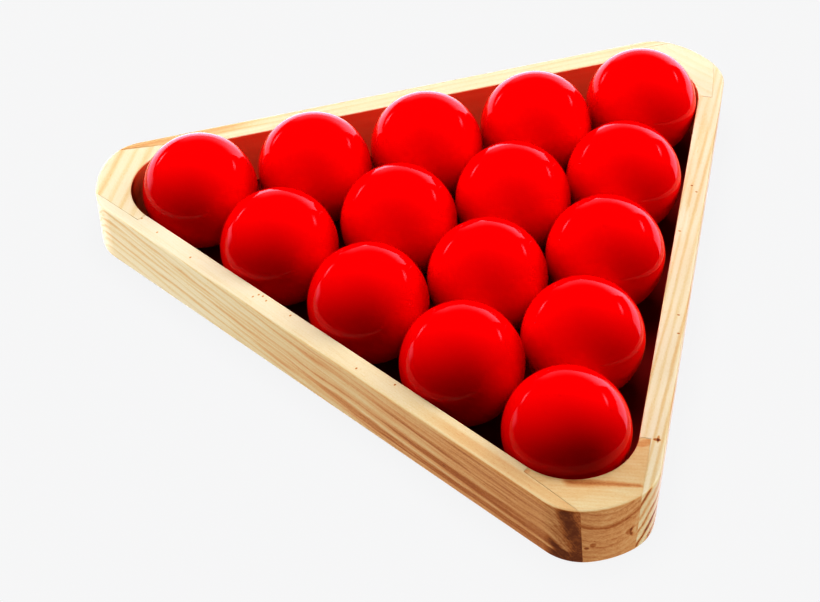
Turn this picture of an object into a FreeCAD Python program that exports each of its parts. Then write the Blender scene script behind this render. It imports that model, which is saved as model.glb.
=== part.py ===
"""Snooker triangle rack: three straight rails glued to three corner blocks,
filled with fifteen loose balls that lift out one by one.

Row frame, millimetres: +Z is up and Z = 0 is the surface that the rack and
the balls stand on. The near corner points along -Y and the back rail lies
along X. The model is drawn round the middle of the rack's hollow and then
moved so that the origin is below the centre of its bounding box.
"""
import FreeCAD, Part
import math
import os
from FreeCAD import Vector

# ---------------------------------------------------------------- balls
BALL_DIAMETER = 52.5        # full-size snooker ball
ROWS = 5                    # one ball in the near corner, five at the back
BALL_GAP = 1.2              # play between neighbours, the balls lie loose
SET_TURN = -1.4             # degrees that the loose set is turned in the rack
SET_SHIFT = (-0.85, -3.15)  # the set has slid towards the left rail

# balls that lie off the even rows, as (row, place in the row): (x, y)
LOOSE_BALLS = {
    (0, 0): (2.6, 0.2),
    (1, 0): (0.7, 0.9),
    (1, 1): (-0.2, 0.8),
    (2, 1): (-0.2, 0.5),
    (3, 0): (-1.2, -0.9),
    (3, 3): (-0.7, -0.5),
    (4, 4): (0.3, 2.4),
}

# ---------------------------------------------------------------- rack
RAIL_HEIGHT = 28.5          # just over the middle of a ball
RAIL_THICKNESS = {"right": 10.9, "back": 10.9, "left": 9.9}
INNER_DISTANCE = 91.1       # centre of the hollow to each inner face
INNER_ROUNDING = 27.7       # radius of the corner that holds a ball
OUTER_ROUNDING = 21.9       # radius from the cut-off face into the rails
CUT_CROWN = 42.0            # radius of the slightly bulging cut-off face
OUTER_EASE = 1.3            # rounding of the outer long edges
INNER_EASE = 0.6            # rounding of the inner long edges
SEAM = 0.30                 # side of the small V groove along each glue line

# centre of the hollow to each cut-off face, at its foot and at its top, and the
# degrees that the face is turned off square: the corners were sanded by hand
CUT_AT_FOOT = {"near": 174.0, "right": 172.1, "left": 171.6}
CUT_AT_TOP = {"near": 171.3, "right": 172.1, "left": 171.6}
CUT_TURN = {"near": 0.0, "right": 0.0, "left": -1.1}

# the rebate that each block is let into, by corner and rail: (middle of the rail to
# its shoulder, its depth at the shoulder, degrees that its glue line turns outwards)
REBATES = {
    "near": {"left": (111.5, 2.9, 2.6), "right": (110.0, 4.7, 0.5)},
    "right": {"right": (113.8, 6.4, -4.0), "back": (112.0, 5.4, 0.0)},
    "left": {"back": (111.0, 4.4, 7.0), "left": (110.5, 4.8, 0.5)},
}

# directions in degrees, seen from above, +X is 0 and +Y is 90
RAIL_NORMAL = {"right": -30, "back": 90, "left": 210}
CORNER_BEARING = {"near": 270, "right": 30, "left": 150}

# ---------------------------------------------------------------- worked out
INNER_ARC_CENTRE = 2 * (INNER_DISTANCE - INNER_ROUNDING)
BIG = 400.0                 # longer than the rack in every direction
HALF_CORNER = 60            # degrees from a corner's bearing to its rails' normals
RAIL_SLACK = 1.0            # a rail's inner face curves in by less than this near a shoulder


def direction(bearing):
    """Unit vector in the XY plane at a bearing in degrees."""
    angle = math.radians(bearing)
    return Vector(math.cos(angle), math.sin(angle), 0)


def bearing_of(vector):
    """Bearing in degrees of a vector in the XY plane."""
    return math.degrees(math.atan2(vector.y, vector.x))


def rail_beside(corner, side):
    """The rail whose normal lies at side, +1 or -1, of a corner's bearing."""
    wanted = (CORNER_BEARING[corner] + side * HALF_CORNER) % 360
    return next(rail for rail, normal in RAIL_NORMAL.items() if normal % 360 == wanted)


def arc(centre, radius, start, end):
    """Edge of a flat arc that runs anticlockwise from one bearing to another."""
    end = start + (end - start) % 360
    middle = (start + end) / 2
    points = [centre + direction(angle) * radius for angle in (start, middle, end)]
    return Part.Arc(*points).toShape()


def closed_wire(arcs, height):
    """Outline made of arcs, with straight lines where two do not meet."""
    edges = []
    for index, edge in enumerate(arcs):
        following = arcs[(index + 1) % len(arcs)]
        edges.append(edge)
        end = edge.Vertexes[1].Point
        start = following.Vertexes[0].Point
        if end.distanceToPoint(start) > 1e-6:
            edges.append(Part.LineSegment(end, start).toShape())
    wire = Part.Wire(edges)
    wire.translate(Vector(0, 0, height))
    return wire


def rounding_centre(corner, side, crown_centre):
    """Centre of the rounding that touches a rail's outer face and, from inside, the crown."""
    rail = rail_beside(corner, side)
    outer_face = INNER_DISTANCE + RAIL_THICKNESS[rail]
    normal = direction(RAIL_NORMAL[rail])
    to_corner = direction(RAIL_NORMAL[rail] - side * 90)
    foot = normal * (outer_face - OUTER_ROUNDING)
    offset = foot - crown_centre
    half_b = offset.dot(to_corner)
    rest = offset.dot(offset) - (CUT_CROWN - OUTER_ROUNDING) ** 2
    return foot + to_corner * (-half_b + math.sqrt(half_b ** 2 - rest))


def outer_corner(corner, cut_distance):
    """The three tangent arcs of a cut-off corner: rounding, crown, rounding."""
    bearing = CORNER_BEARING[corner]
    crown_centre = direction(bearing + CUT_TURN[corner]) * (cut_distance - CUT_CROWN)
    before = rounding_centre(corner, -1, crown_centre)
    after = rounding_centre(corner, 1, crown_centre)
    meet_before = bearing_of(before - crown_centre)
    meet_after = bearing_of(after - crown_centre)
    return [
        arc(before, OUTER_ROUNDING, bearing - HALF_CORNER, meet_before),
        arc(crown_centre, CUT_CROWN, meet_before, meet_after),
        arc(after, OUTER_ROUNDING, meet_after, bearing + HALF_CORNER),
    ]


def outer_outline(cut_distances, height):
    """The rack's whole outer outline at one height."""
    arcs = []
    for corner in ("right", "left", "near"):
        arcs += outer_corner(corner, cut_distances[corner])
    return closed_wire(arcs, height)


def hollow_outline(height):
    """The hollow's outline: three straight sides and three corner arcs."""
    arcs = []
    for corner in ("right", "left", "near"):
        bearing = CORNER_BEARING[corner]
        centre = direction(bearing) * INNER_ARC_CENTRE
        arcs.append(arc(centre, INNER_ROUNDING, bearing - HALF_CORNER, bearing + HALF_CORNER))
    return closed_wire(arcs, height)


def level_edges(body, inside):
    """The edges of the top and bottom faces, on the hollow or on the outside."""
    found = []
    for edge in body.Edges:
        middle = edge.valueAt((edge.FirstParameter + edge.LastParameter) / 2)
        on_hollow = distance_to_hollow(Vector(middle.x, middle.y, 0)) < 0.01
        if edge.BoundBox.ZLength < 1e-6 and on_hollow == inside:
            found.append(edge)
    return found


def distance_to_hollow(point):
    """How far a point in the XY plane is from the hollow's outline."""
    for bearing in CORNER_BEARING.values():
        from_arc_centre = point - direction(bearing) * INNER_ARC_CENTRE
        if from_arc_centre.dot(direction(bearing)) > from_arc_centre.Length / 2 - 1e-6:
            return abs(from_arc_centre.Length - INNER_ROUNDING)
    nearest_face = max(point.dot(direction(normal)) for normal in RAIL_NORMAL.values())
    return abs(nearest_face - INNER_DISTANCE)


def eased_ring():
    """The whole rack as one ring, with its long edges rounded."""
    outlines = [outer_outline(CUT_AT_FOOT, 0), outer_outline(CUT_AT_TOP, RAIL_HEIGHT)]
    outside = Part.makeLoft(outlines, True, True)
    hollow = Part.Face(hollow_outline(0)).extrude(Vector(0, 0, RAIL_HEIGHT))
    ring = outside.cut(hollow)
    ring = ring.makeFillet(OUTER_EASE, level_edges(ring, inside=False))
    return ring.makeFillet(INNER_EASE, level_edges(ring, inside=True))


def half_space(normal_bearing, distance):
    """A big box that holds all that lies nearer than a vertical plane."""
    box = Part.makeBox(BIG, 2 * BIG, BIG, Vector(distance - BIG, -BIG, -BIG / 2))
    box.rotate(Vector(0, 0, 0), Vector(0, 0, 1), normal_bearing)
    return box


def towards_corner(rail, corner):
    """Bearing along a rail, towards one of its two corners."""
    along = RAIL_NORMAL[rail] + 90
    if direction(along).dot(direction(CORNER_BEARING[corner])) < 0:
        along -= 180
    return along


def glue_line(corner, rail):
    """Where the glue line of a rebate starts, at its shoulder, and both its bearings:
    the one that it runs along and the one that it faces, out of the rack."""
    shoulder, depth, turn = REBATES[corner][rail]
    along = towards_corner(rail, corner)
    outward = RAIL_NORMAL[rail]
    start = direction(along) * shoulder + direction(outward) * (INNER_DISTANCE + depth)
    towards_outside = 1 if (outward - along) % 360 == 90 else -1
    runs = along + towards_outside * turn
    return start, runs, runs + towards_outside * 90


def corner_space(corner):
    """The space of one corner block: between its rebates, beyond their shoulders."""
    space = Part.makeBox(2 * BIG, 2 * BIG, BIG, Vector(-BIG, -BIG, -BIG / 2))
    for rail in REBATES[corner]:
        start, runs, faces = glue_line(corner, rail)
        along = towards_corner(rail, corner)
        before_rebate = half_space(faces, start.dot(direction(faces)))
        before_shoulder = half_space(along, start.dot(direction(along)))
        space = space.common(before_rebate).cut(before_shoulder)
    return space


def groove(start, end):
    """A square bar on a glue line, turned on edge: it cuts a V into both pieces."""
    run = end - start
    bar = Part.makeBox(SEAM, SEAM, run.Length, Vector(-SEAM / 2, -SEAM / 2, 0))
    bar.rotate(Vector(0, 0, 0), Vector(0, 0, 1), 45)
    lay = FreeCAD.Rotation(Vector(0, 0, 1), run)
    bar.Placement = FreeCAD.Placement(start, lay).multiply(bar.Placement)
    return bar


def seam_grooves(corner):
    """V grooves on the top and bottom faces, along each glue line of a corner."""
    bars = []
    for rail in REBATES[corner]:
        step, runs, faces = glue_line(corner, rail)
        far_end = step + direction(runs) * BIG
        inner_end = step - direction(RAIL_NORMAL[rail]) * (2 * max(RAIL_THICKNESS.values()))
        for height in (0, RAIL_HEIGHT):
            lift = Vector(0, 0, height)
            bars.append(groove(step + lift, far_end + lift))
            bars.append(groove(inner_end + lift, step + lift))
    return bars


def rack_pieces():
    """Every wooden piece by name."""
    ring = eased_ring()
    spaces = {corner: corner_space(corner) for corner in REBATES}
    grooves = {corner: seam_grooves(corner) for corner in REBATES}
    pieces = {}
    for corner, space in spaces.items():
        pieces[corner + "_corner_block"] = ring.common(space).cut(grooves[corner])
    for rail, normal in RAIL_NORMAL.items():
        side = ring.cut(half_space(normal, INNER_DISTANCE - RAIL_SLACK))
        for corner, space in spaces.items():
            if rail in REBATES[corner]:
                side = side.cut(space).cut(grooves[corner])
        pieces[rail + "_rail"] = side
    return pieces


def balls():
    """Every ball by name, row by row from the near corner, left to right."""
    pitch = BALL_DIAMETER + BALL_GAP
    row_pitch = pitch * math.sqrt(3) / 2
    middle_row = (ROWS - 1) * 2 / 3
    set_turn = FreeCAD.Rotation(Vector(0, 0, 1), SET_TURN)
    made = {}
    for row in range(ROWS):
        for place in range(row + 1):
            even = Vector((place - row / 2) * pitch, (row - middle_row) * row_pitch, 0)
            loose = LOOSE_BALLS.get((row, place), (0, 0))
            shift = Vector(SET_SHIFT[0] + loose[0], SET_SHIFT[1] + loose[1], BALL_DIAMETER / 2)
            name = "ball_%02d" % (len(made) + 1)
            made[name] = Part.makeSphere(BALL_DIAMETER / 2, set_turn.multVec(even) + shift)
    return made


def main():
    os.makedirs("parts", exist_ok=True)
    pieces = rack_pieces()
    box = Part.makeCompound(list(pieces.values())).optimalBoundingBox()
    to_origin = Vector(-box.Center.x, -box.Center.y, 0)
    print("centre of the hollow:", round(to_origin.x, 3), round(to_origin.y, 3))
    pieces.update(balls())
    for name, body in pieces.items():
        assert len(body.Solids) == 1, name
        solid = body.Solids[0].translated(to_origin)
        solid.exportStep("parts/" + name + ".step")


main()
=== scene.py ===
"""The looks of the triangle rack: pine frame, polished red balls, pale studio.

Everything is in the row frame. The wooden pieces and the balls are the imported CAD
nodes with procedural materials. Places in the wood are in millimetres from the
middle of the rack's hollow.
"""
import math
import bpy
from mathutils import Matrix, Vector

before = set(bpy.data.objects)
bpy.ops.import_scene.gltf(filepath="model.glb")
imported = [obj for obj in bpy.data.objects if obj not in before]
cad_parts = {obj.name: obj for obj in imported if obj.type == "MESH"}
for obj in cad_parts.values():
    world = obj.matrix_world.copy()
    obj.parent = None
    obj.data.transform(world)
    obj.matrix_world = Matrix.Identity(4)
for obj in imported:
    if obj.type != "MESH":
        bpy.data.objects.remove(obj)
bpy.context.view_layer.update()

MM = 0.001

# ---------------------------------------------------------------- camera
CAMERA_AZIMUTH = -17.39         # degrees, 0 is straight in front, negative to the left
CAMERA_ELEVATION = 43.99
CAMERA_ROLL = -0.41
CAMERA_DISTANCE = 0.8367        # metres
CAMERA_TARGET = Vector((-0.0306, 0.0249, 0.0))
CAMERA_LENS = 82.17             # mm
SENSOR_WIDTH = 36.0             # mm


def make_camera():
    """Look at the target from the front left and above."""
    azimuth = math.radians(CAMERA_AZIMUTH)
    elevation = math.radians(CAMERA_ELEVATION)
    roll = math.radians(CAMERA_ROLL)
    back = Vector((
        math.sin(azimuth) * math.cos(elevation),
        -math.cos(azimuth) * math.cos(elevation),
        math.sin(elevation),
    ))
    level_right = Vector((0, 0, 1)).cross(back).normalized()
    level_up = back.cross(level_right)
    right = level_right * math.cos(roll) + level_up * math.sin(roll)
    up = back.cross(right)
    data = bpy.data.cameras.new("camera")
    data.lens = CAMERA_LENS
    data.sensor_width = SENSOR_WIDTH
    data.clip_start = 0.01
    data.clip_end = 50
    camera = bpy.data.objects.new("camera", data)
    turn = Matrix((right, up, back)).transposed().to_4x4()
    camera.matrix_world = Matrix.Translation(CAMERA_TARGET + back * CAMERA_DISTANCE) @ turn
    bpy.context.scene.collection.objects.link(camera)
    bpy.context.scene.camera = camera


make_camera()


# ---------------------------------------------------------------- shader helpers
class Field:
    """A number that varies over a surface: the output of a shader node."""

    def __init__(self, shader, socket):
        self.shader = shader
        self.socket = socket

    def __add__(self, other):
        return self.shader.math("ADD", self, other)

    def __sub__(self, other):
        return self.shader.math("SUBTRACT", self, other)

    def __rsub__(self, other):
        return self.shader.math("SUBTRACT", other, self)

    def __mul__(self, other):
        return self.shader.math("MULTIPLY", self, other)

    def __truediv__(self, other):
        return self.shader.math("DIVIDE", self, other)

    __radd__ = __add__
    __rmul__ = __mul__


class Shader:
    """Short ways to add nodes to a new material, or to the tree of a world."""

    def __init__(self, name, tree=None):
        self.material = None
        if tree is None:
            self.material = bpy.data.materials.new(name)
            self.material.use_nodes = True
            tree = self.material.node_tree
        self.tree = tree
        self.tree.nodes.clear()

    def node(self, kind, settings=None, **inputs):
        made = self.tree.nodes.new("ShaderNode" + kind)
        for key, value in (settings or {}).items():
            setattr(made, key, value)
        for key, value in inputs.items():
            self.put(made.inputs[key.replace("_", " ")], value)
        return made

    def put(self, socket, value):
        if isinstance(value, Field):
            value = value.socket
        if hasattr(value, "node"):
            self.tree.links.new(value, socket)
        else:
            socket.default_value = value

    def math(self, operation, *values):
        made = self.node("Math", {"operation": operation})
        for socket, value in zip(made.inputs, values):
            self.put(socket, value)
        return Field(self, made.outputs[0])

    def dot(self, vector, direction):
        made = self.node("VectorMath", {"operation": "DOT_PRODUCT"})
        self.put(made.inputs[0], vector)
        self.put(made.inputs[1], direction)
        return Field(self, made.outputs["Value"])

    def vector(self, x, y, z):
        return self.node("CombineXYZ", X=x, Y=y, Z=z).outputs[0]

    def smooth(self, value, start, end):
        """0 at start, 1 at end, with a smooth rise between."""
        made = self.node("MapRange", {"interpolation_type": "SMOOTHSTEP"}, Value=value)
        self.put(made.inputs["From Min"], start)
        self.put(made.inputs["From Max"], end)
        return Field(self, made.outputs[0])

    def hump(self, value, centre, half_width):
        """1 at the centre, falling smoothly to 0 at the half width."""
        away = self.math("ABSOLUTE", (value - centre) / half_width)
        return self.smooth(away, 1.0, 0.0)

    def noise(self, vector, detail=2.0, roughness=0.5):
        """Smooth noise between 0 and 1, mostly near 0.5."""
        made = self.node("TexNoise", Vector=vector, Scale=1.0, Detail=detail, Roughness=roughness)
        return Field(self, made.outputs["Fac"])

    def ramp(self, value, stops):
        """The colour at value, between the stops (place, colour)."""
        made = self.node("ValToRGB", Fac=value)
        ramp = made.color_ramp
        while len(ramp.elements) < len(stops):
            ramp.elements.new(0.5)
        for element, (place, colour) in zip(ramp.elements, stops):
            element.position = place
            element.color = (*colour, 1)
        return made.outputs[0]

    def output(self, surface):
        kind = "OutputMaterial" if self.material else "OutputWorld"
        self.node(kind, Surface=surface)
        return self.material


# ---------------------------------------------------------------- wood
HOLLOW_CENTRE = Vector((-0.685, 35.935, 0))     # mm, in the row frame
RAIL_HEIGHT = 28.5

# from the palest earlywood to dark resinous latewood
PINE_TONES = [
    (0.00, (0.66, 0.595, 0.455)),
    (0.12, (0.645, 0.56, 0.385)),
    (0.25, (0.615, 0.50, 0.295)),
    (0.40, (0.59, 0.41, 0.207)),
    (0.60, (0.54, 0.28, 0.107)),
    (0.80, (0.36, 0.118, 0.026)),
    (1.00, (0.155, 0.038, 0.009)),
]
BALL_BOUNCE_RED = (1.45, 0.6, 0.35)  # painted red bounce light from the balls on the inner faces
# the colour of the painted red glow on the inner faces
RED_BOUNCE_GLOW = (1, 0.10, 0.04, 1)
HOLLOW_REACH = 91.1             # from the middle to the inner faces
HOLLOW_ROUNDING = 27.7
OUTER_FACE = {"left": 101, "back": 102}     # from the middle to the outer faces

# how much each kind of fine grain moves the tone
FIBRE_TONE = 0.05
STREAK_TONE = 0.26
SPECKLE_TONE = 0.22
PORE_TONE = 0.16
WOOD_ROUGHNESS = 0.48
GRAIN_RELIEF = 0.1              # mm


def direction(bearing):
    """The level unit vector at a bearing in degrees: 0 is +X, 90 is +Y."""
    angle = math.radians(bearing)
    return Vector((math.cos(angle), math.sin(angle), 0))


class Wood(Shader):
    """Pine with its grain along one piece.

    x runs along the piece, out is the distance from the hollow's middle along the
    bearing that the piece faces, z is the height, all in millimetres. grain is what
    stays the same along a growth ring's surface.
    """

    def __init__(self, name, facing):
        super().__init__(name)
        place = self.node("TexCoord").outputs["Object"]
        to_mm = 1 / MM
        outward = direction(facing)
        along = direction(facing + 90)
        self.x = self.dot(place, along * to_mm) - HOLLOW_CENTRE.dot(along)
        self.out = self.dot(place, outward * to_mm) - HOLLOW_CENTRE.dot(outward)
        self.z = self.dot(place, (0, 0, to_mm))
        self.on_top = self.smooth(self.z, RAIL_HEIGHT - 0.5, RAIL_HEIGHT - 0.1)
        self.below = 1 - self.on_top
        self.from_wall = self.out - HOLLOW_REACH
        self.aside = self.out
        self.level = self.z

    def lean(self, aside, level):
        """The two fields that stay the same along a fibre."""
        self.aside = aside
        self.level = level

    def is_corner(self):
        """Its inner face is the hollow's rounded corner."""
        back = self.out - 2 * (HOLLOW_REACH - HOLLOW_ROUNDING)
        self.from_wall = self.math("SQRT", self.x * self.x + back * back) - HOLLOW_ROUNDING

    def inside(self):
        """1 on the inner face, 0 on the others."""
        return self.smooth(self.from_wall, 0.4, 0.15) * self.below

    def stretched(self, along, across):
        """The place, squeezed so that noise on it is along by across millimetres."""
        return self.vector(self.x / along, self.aside / across, self.level / across)

    def wander(self, along, across, amount):
        """Smooth noise between about -amount and +amount."""
        return (self.noise(self.stretched(along, across)) - 0.5) * (amount * 2.5)

    def rings(self, grain, period, sharpness=0.9):
        """Latewood between 0 and 1: it darkens slowly, then ends at once."""
        turns = grain / period
        part = self.math("FRACT", turns)
        late = self.smooth(part, 0.25, sharpness) * self.smooth(part, 1.0, sharpness)
        number = self.node("TexWhiteNoise", {"noise_dimensions": "1D"}, W=self.math("FLOOR", turns))
        return late * (0.55 + 0.7 * Field(self, number.outputs["Value"]))

    def bands(self, field, places):
        """Streaks along the grain: (tone, centre in the field, half width, x where it
        starts to show, x where it is full)."""
        total = 0
        for tone, centre, half_width, start, end in places:
            streak = self.hump(field, centre, half_width) * self.smooth(self.x, start, end)
            total = total + tone * streak
        return total

    def spot(self, across, x, middle, half_length, half_width):
        """1 in a small patch at x and at the middle of the field across."""
        along = (self.x - x) / half_length
        aside = (across - middle) / half_width
        return self.smooth(along * along + aside * aside, 1.0, 0.3)

    def spots(self, across, places):
        """Patches: (tone, x, middle in the field across, half length, half width)."""
        total = 0
        for tone, *place in places:
            total = total + tone * self.spot(across, *place)
        return total

    def specks(self, places):
        """Small dark marks in the top face, at (x, out)."""
        marks = 0
        for x, out in places:
            marks = marks + self.spot(self.out + self.wander(1, 0.5, 0.2), x, out, 0.5, 0.75)
        return marks * self.on_top * 0.6

    def fibres(self):
        """Fine light and dark fibres between about -1 and 1."""
        fine = self.noise(self.stretched(9, 0.35), detail=3, roughness=0.6)
        broad = self.noise(self.stretched(40, 1.6), detail=2)
        return (fine - 0.5) * 2.2 + (broad - 0.5) * 2.0

    def pores(self):
        """Short dark dashes along the grain."""
        return self.smooth(self.noise(self.stretched(2.6, 0.4), detail=1), 0.66, 0.78)

    def finish(self, tone, glow=0.0):
        """The material; glow is a painted red glow on the inner face that stands in for the light that
        the balls throw on it.
        """
        fibres = self.fibres()
        streaks = self.noise(self.stretched(55, 1.1), detail=2) - 0.5
        speckle = self.noise(self.stretched(0.9, 0.45), detail=2) - 0.5
        tone = tone + fibres * FIBRE_TONE + streaks * STREAK_TONE * self.below
        tone = tone + speckle * SPECKLE_TONE + self.pores() * PORE_TONE
        inside = self.inside()
        # painted red bounce light from the balls, on the inner face
        painted_bounce = self.vector(*[1 + (tint - 1) * inside for tint in BALL_BOUNCE_RED])
        colour = self.node("VectorMath", {"operation": "MULTIPLY"})
        self.put(colour.inputs[0], self.ramp(tone, PINE_TONES))
        self.put(colour.inputs[1], painted_bounce)
        height = fibres * 0.5 - self.pores()
        bump = self.node("Bump", Strength=0.25, Distance=GRAIN_RELIEF * MM, Height=height)
        surface = self.node("BsdfPrincipled", IOR=1.35, Normal=bump.outputs[0])
        self.put(surface.inputs["Base Color"], colour.outputs[0])
        self.put(surface.inputs["Roughness"], WOOD_ROUGHNESS + fibres * 0.05)
        # painted glow: the inner face glows red for the balls' bounce light, though it is no lamp
        if glow:
            self.put(surface.inputs["Emission Color"], RED_BOUNCE_GLOW)
            self.put(surface.inputs["Emission Strength"], glow * inside)
        return self.output(surface.outputs[0])


# streaks in the side of the left rail, as Wood.bands takes them
LEFT_RAIL_BANDS = [
    (0.20, 14.8, 3.3, -30, 50),
    (0.24, 8.3, 2.8, -30, 15),
    (0.14, 14.6, 5.5, 50, 110),
    (-0.16, 18.2, 1.3, 10, 40),
    (-0.12, 11.4, 1.2, 0, 40),
    (0.14, 12.3, 0.9, 10, -20),
    (0.10, 6.3, 0.9, 10, -20),
]
# small marks in the top faces, as (x, out)
LEFT_RAIL_SPECKS = [
    (-110, 94), (-98, 95.7), (-75, 97), (-37, 96), (-36, 93.5),
    (-34, 93), (-31, 94), (-17, 93.5), (25, 97.3), (43, 93.5),
]
RIGHT_RAIL_SPECKS = [(-49, 99.7), (-38, 98.6), (15, 93), (43, 97.5), (47, 95)]
LEFT_BLOCK_SPECKS = [(26, 142)]


def left_rail_wood():
    w = Wood("left_rail_pine", 210)
    sag = 0.07 * w.x - 0.00024 * w.x * w.x
    w.lean(w.out - 0.015 * w.x, w.z + sag)
    grain = w.z - 3.2 * (w.out - OUTER_FACE["left"]) + sag
    grain = grain + w.wander(60, 6, 1.4) + w.wander(20, 3, 0.9)
    # it darkens towards the near corner
    near = w.smooth(w.x, -110, 135)
    tone = 0.10 + 0.48 * near + 0.04 * w.smooth(w.x, 50, 110)
    uneven = 0.4 + 0.6 * w.smooth(w.noise(w.stretched(28, 3)), 0.3, 0.6)
    rings = w.rings(grain + 1.2, 4.1, sharpness=0.8) * (0.27 - 0.19 * near) * uneven
    rings = rings + w.rings(grain, 2.05) * 0.07 + w.wander(24, 2.2, 0.07)
    tone = tone + rings * (1 - 0.5 * w.on_top)
    side = w.bands(grain, LEFT_RAIL_BANDS)
    side = side + w.bands(grain, [(0.14, 23.0, 2.6, -35, 15)]) * w.smooth(w.x, 100, 70)
    # the resinous patch at the near end, whose grain is steep
    end = w.smooth(w.x, 128, 134)
    steep = w.z + 2.8 * w.x + w.wander(8, 3, 2.0)
    beyond = 0.35 * w.smooth(steep, 408, 416)
    dark_end = w.math("MAXIMUM", w.hump(steep, 408, 15), beyond)
    side = side + (0.35 * dark_end + 0.03) * end
    side = side + 0.28 * w.spot(w.z, 138, 2.5, 9, 4.5)
    side = w.math("MINIMUM", tone + side, 0.78 + 0.2 * end)
    # the golden bands along the top
    golden = 0.17 * w.smooth(w.x, 40, 80) * w.smooth(w.out, 94, 95.5) * w.smooth(w.out, 100.5, 98.5)
    golden = golden + w.bands(w.out - 0.02 * w.x, [(0.06, 99.6, 1.6, -125, -100)])
    # painted light and shade: the top is a paler tone than the side, as more light falls on it
    top = tone * 0.48 - 0.05 + golden + w.specks(LEFT_RAIL_SPECKS)
    tone = side * w.below + top * w.on_top
    # painted shade: the inner face is a darker tone, as it lies in the balls' shade
    return w.finish(tone + 0.45 * w.inside() + w.wander(35, 5, 0.06))


def right_rail_wood():
    w = Wood("right_rail_pine", -30)
    w.lean(w.out - 0.06 * w.x, w.z)
    depth = w.aside - 0.5 * (w.z - RAIL_HEIGHT)
    grain = depth + w.wander(50, 5, 0.7) + w.wander(14, 3, 0.25)
    near_end = w.smooth(w.x, -122, -134) * w.below
    # painted shade: the sides are a darker tone than the top, as less light falls on them
    tone = 0.07 + 0.19 * w.below
    tone = tone + w.rings(grain - 94.2, 3.6, sharpness=0.6) * (0.25 + 0.29 * near_end)
    tone = tone + w.spots(w.out, [
        (0.10, 40, 94.5, 14, 1.6),
        (0.10, 80, 96.5, 24, 2.2),
        (-0.10, 22, 94.5, 14, 1.6),
    ])
    # the dent at the near end of the top
    dent = w.spots(w.out, [
        (0.55, -110, 98.2, 0.9, 1.9),
        (0.55, -109.5, 98.6, 2.4, 0.7),
    ])
    tone = tone + dent * w.on_top + w.specks(RIGHT_RAIL_SPECKS)
    return w.finish(tone + w.wander(30, 4, 0.06))


def back_rail_wood():
    w = Wood("back_rail_pine", 90)
    grain = w.z + 2.0 * (w.out - OUTER_FACE["back"]) + 0.03 * w.x + w.wander(50, 5, 1.2)
    # painted shade: the sides are a darker tone than the top, as less light falls on them
    tone = 0.11 + 0.15 * w.below + w.rings(grain, 7.0) * 0.10
    # the darker outer edge at the left end
    left_end = 0.26 * w.smooth(w.x, 60, 90) + 0.08 * w.smooth(w.x, 100, 122)
    tone = tone + left_end * w.smooth(w.out, 95, 97.5)
    # painted glow: the inner face glows faintly red for the light that the balls throw on it
    return w.finish(tone + w.wander(30, 4, 0.05), glow=0.2)


def near_block_wood():
    w = Wood("near_block_pine", 270)
    w.is_corner()
    bow = 0.022 * (w.x + 1) * (w.x + 1)
    w.lean(w.out - 0.41 * w.x, w.z - bow)
    grain = w.level + w.wander(14, 4, 0.8)
    # painted shade: the near face is a darker tone than the top, as less light falls on it
    tone = 0.29 + (0.32 - 0.002 * w.x) * w.below + w.wander(20, 5, 0.08)
    tone = tone + (w.rings(grain, 2.9) * 0.07 + 0.20 * w.hump(grain, 18.5, 1.3)) * w.below
    # the resin streak across the top, and the darker wood beside it
    streak_end = w.smooth(w.x, -14.5, -11) * w.smooth(w.x, 16.5, 14.5)
    ragged = w.wander(4, 0.8, 0.35)
    streak = w.hump((w.aside - 158.3 + ragged) / (2.9 - 0.09 * w.x), 0, 1) * streak_end
    top = 0.37 * streak + 0.10 * w.smooth(w.out, 166, 156) + w.rings(w.aside, 1.9, sharpness=0.6) * 0.04
    top = top + w.spots(w.out, [
        (0.20, 25, 144.5, 4.5, 2.2),
        (0.16, -25, 144, 2.5, 1.2),
    ])
    tone = tone + top * w.on_top
    # the knot in the face
    knot_x = (w.x - 10.4) / 1.7
    knot_z = (w.z - 11.9) / 2.5
    knot = knot_x * knot_x + knot_z * knot_z
    face = 0.20 * w.hump(knot, 1.0, 1.0) * w.smooth(w.x, 11.0, 9.2) - 0.12 * w.smooth(knot, 0.6, 0.2)
    face = face + w.spots(w.z, [
        (0.14, 8.4, 12.2, 2.4, 2.0),
        (0.18, -7, 10, 1.6, 1.4),
        (0.24, -9.5, 8.5, 1.2, 0.8),
    ])
    tone = tone + face * w.smooth(w.out, 160, 162) * w.below
    return w.finish(tone)


def left_block_wood():
    w = Wood("left_block_pine", 150)
    w.is_corner()
    grain = w.out + 0.6 * (w.z - RAIL_HEIGHT) - 153 + w.wander(30, 5, 0.8)
    # painted shade: the sides are a darker tone than the top, as less light falls on them
    tone = 0.08 + 0.10 * w.below + w.rings(grain + 3.2, 6.4, sharpness=0.55) * 0.22
    # painted shade: its hollow is dark on the near side, where the balls shade it
    tone = tone + 0.95 * w.inside() * w.smooth(w.x, -6, 10)
    return w.finish(tone + w.specks(LEFT_BLOCK_SPECKS))


def right_block_wood():
    w = Wood("right_block_pine", 30)
    w.is_corner()
    grain = w.out + 0.5 * w.z + w.wander(30, 5, 0.8)
    # painted shade: the sides are a darker tone than the top, as less light falls on them
    tone = 0.05 + 0.17 * w.below + w.rings(grain, 5.0) * 0.08
    return w.finish(tone)


BALL_RED = (0.86, 0.0, 0.001, 1)


def ball_material():
    s = Shader("red_resin")
    surface = s.node("BsdfPrincipled", Base_Color=BALL_RED, Roughness=0.02, IOR=1.22)
    return s.output(surface.outputs[0])


def give(node, material):
    """Make this the only material of a CAD node."""
    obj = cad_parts[node]
    obj.data.materials.clear()
    obj.data.materials.append(material)


give("left_rail", left_rail_wood())
give("right_rail", right_rail_wood())
give("back_rail", back_rail_wood())
give("near_corner_block", near_block_wood())
give("left_corner_block", left_block_wood())
give("right_corner_block", right_block_wood())
red = ball_material()
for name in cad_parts:
    if name.startswith("ball"):
        give(name, red)


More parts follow.
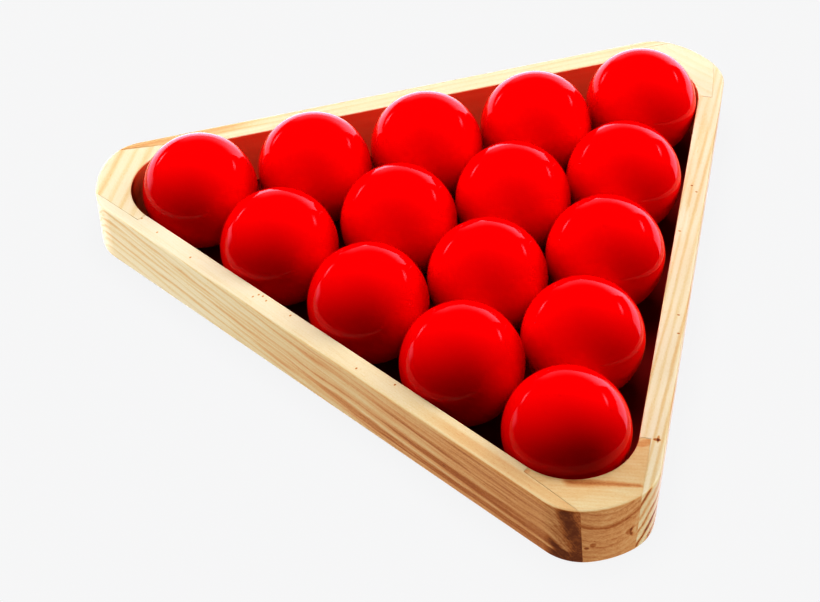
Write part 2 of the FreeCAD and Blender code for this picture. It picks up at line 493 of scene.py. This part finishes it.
# ---------------------------------------------------------------- stage
FLOOR_HALF = 6.0                # metres
FLOOR_LEVEL = -0.0004
FLOOR_WHITE = (0.938, 0.938, 0.942, 1)
CONTACT_REACH = 0.015           # painted contact shadow: the floor is a little darker this close to the rack
# a dark sheet of painted shade, under the balls inside the rack
SHADE_SHEET_LEVEL = -0.0001
SHADE_SHEET_REACH = 94                # mm, from the hollow's middle to the shade sheet's edges
SHADE_SHEET_CORNER_CUT = 0.085        # part of each edge that its cut-off corners take
# its dark red is painted shade with the balls' red bounce light in it
SHADE_SHEET_MAROON = (0.18, 0.004, 0.004, 1)

# some lamps reach only the wood, so the balls' lower halves stay dark, and some
# only the balls, so the wood stays soft
WOOD = bpy.data.collections.new("wood")
BALLS = bpy.data.collections.new("balls")
for name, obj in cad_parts.items():
    collection = BALLS if name.startswith("ball") else WOOD
    collection.objects.link(obj)


def flat_sheet(name, points, height):
    mesh = bpy.data.meshes.new(name)
    mesh.from_pydata([(x, y, height) for x, y in points], [], [tuple(range(len(points)))])
    sheet = bpy.data.objects.new(name, mesh)
    bpy.context.scene.collection.objects.link(sheet)
    return sheet


def make_floor():
    """The plain white table: it glows softly, with a faint painted contact shadow by the rack, and lights
    only the wood.
    """
    half = FLOOR_HALF
    floor = flat_sheet("floor", [(-half, -half), (half, -half), (half, half), (-half, half)], FLOOR_LEVEL)
    s = Shader("pale_floor")
    # painted contact shadow: the glow is a little weaker near the rack
    near_things = s.node("AmbientOcclusion", {"samples": 8}, Distance=CONTACT_REACH)
    open_sky = Field(s, near_things.outputs["AO"])
    glow = s.node("Emission", Color=FLOOR_WHITE, Strength=0.96 + 0.04 * open_sky)
    floor.data.materials.append(s.output(glow.outputs[0]))
    floor.visible_glossy = False
    floor.light_linking.receiver_collection = WOOD


def make_painted_shade_sheet():
    """A dark sheet of painted shade that shows between the balls; its edge is under the rails."""
    corner_distance = 2 * SHADE_SHEET_REACH * MM
    middle = HOLLOW_CENTRE.to_2d() * MM
    corners = [middle + direction(bearing).to_2d() * corner_distance for bearing in (30, 150, 270)]
    outline = []
    for index, corner in enumerate(corners):
        for other in (corners[index - 1], corners[(index + 1) % 3]):
            outline.append(corner.lerp(other, SHADE_SHEET_CORNER_CUT))
    shade_sheet = flat_sheet("painted_shade_sheet", outline, SHADE_SHEET_LEVEL)
    s = Shader("painted_shade_sheet")
    surface = s.node("BsdfPrincipled", Base_Color=SHADE_SHEET_MAROON, Roughness=0.9)
    shade_sheet.data.materials.append(s.output(surface.outputs[0]))


# in the world, azimuth is in degrees to the right of straight ahead, and elevation in
# degrees above the horizon
DARK = 0.02
BACKDROP = 1.7                  # the strength of the backdrop behind the rack
TABLE_SHARE = 1.35              # how many times as bright the table is
WORLD_TINT = (1, 0.95, 1.25, 1)

# narrow windows that the balls mirror: azimuth, elevation, half width, half height,
# slope, all in degrees but the slope, then the strength
WINDOWS = [
    (-47, 9, 10, 4, 0.35, 6.0),
    (59, 21.5, 12, 4, 0.05, 7.0),
]


def make_world():
    """A dark studio with a bright low backdrop behind the rack, a table and windows."""
    world = bpy.data.worlds.new("studio")
    bpy.context.scene.world = world
    world.use_nodes = True
    s = Shader("studio", world.node_tree)
    towards = s.node("TexCoord").outputs["Generated"]
    to_degrees = math.degrees(1)
    ahead = s.dot(towards, direction(90 + CAMERA_AZIMUTH))
    right = s.dot(towards, direction(CAMERA_AZIMUTH))
    azimuth = s.math("ARCTAN2", right, ahead) * to_degrees
    elevation = s.math("ARCSINE", s.dot(towards, (0, 0, 1))) * to_degrees
    table = s.smooth(azimuth, -78, -65) * s.smooth(azimuth, 68, 64) * s.smooth(elevation, 1, -3)
    panel = s.smooth(azimuth, -24, -12) * s.smooth(azimuth, 38, 36) * s.smooth(elevation, 23, 7)
    panel = panel * (0.45 + 1.15 * s.smooth(azimuth, 0, 36))
    strength = DARK + BACKDROP * s.math("MAXIMUM", table * TABLE_SHARE, panel)
    for middle, height, half_width, half_height, slope, power in WINDOWS:
        level = height + slope * (azimuth - middle)
        window = s.hump(azimuth, middle, half_width) * s.hump(elevation - level, 0, half_height)
        strength = strength + power * window
    background = s.node("Background", Color=WORLD_TINT, Strength=strength)
    s.output(background.outputs[0])


# name, place, aim and side in metres, power in watts, and what it reaches
RACK_MIDDLE = (0, 0.05, 0)
RACK_RIGHT = (0.05, 0.03, 0)
RACK_FRONT = (0, -0.05, 0)
LIGHTS = [
    ("key", (0, 0.36, 1.0), RACK_MIDDLE, 0.6, 11.1, None),
    ("left_top", (-0.6, 0.2, 0.75), RACK_MIDDLE, 0.5, 2.4, BALLS),
    ("left_back", (-0.8, 0.6, 0.45), RACK_MIDDLE, 0.5, 3.2, None),
    ("right", (0.95, 0.05, 0.3), RACK_RIGHT, 0.5, 9.5, BALLS),
    ("right_high", (0.6, 0.1, 0.75), RACK_MIDDLE, 0.5, 5.7, WOOD),
    ("front_low", (-0.3, -1.0, 0.06), RACK_FRONT, 0.12, 3.0, WOOD),
    ("right_front_low", (0.6, -0.9, 0.06), RACK_FRONT, 0.12, 4.8, WOOD),
    ("left_back_low", (-0.9, 0.5, 0.15), RACK_MIDDLE, 0.3, 11, WOOD),
]


def area_light(name, place, aim, side, power, reaches):
    data = bpy.data.lights.new(name, "AREA")
    data.shape = "SQUARE"
    data.size = side
    data.energy = power
    light = bpy.data.objects.new(name, data)
    light.location = place
    light.rotation_mode = "QUATERNION"
    light.rotation_quaternion = (Vector(place) - Vector(aim)).to_track_quat("Z", "Y")
    light.visible_glossy = False
    if reaches is not None:
        light.light_linking.receiver_collection = reaches
    bpy.context.scene.collection.objects.link(light)


make_floor()
make_painted_shade_sheet()
make_world()
for lamp in LIGHTS:
    area_light(*lamp)

view = bpy.context.scene.view_settings
view.view_transform = "Standard"
view.gamma = 0.8
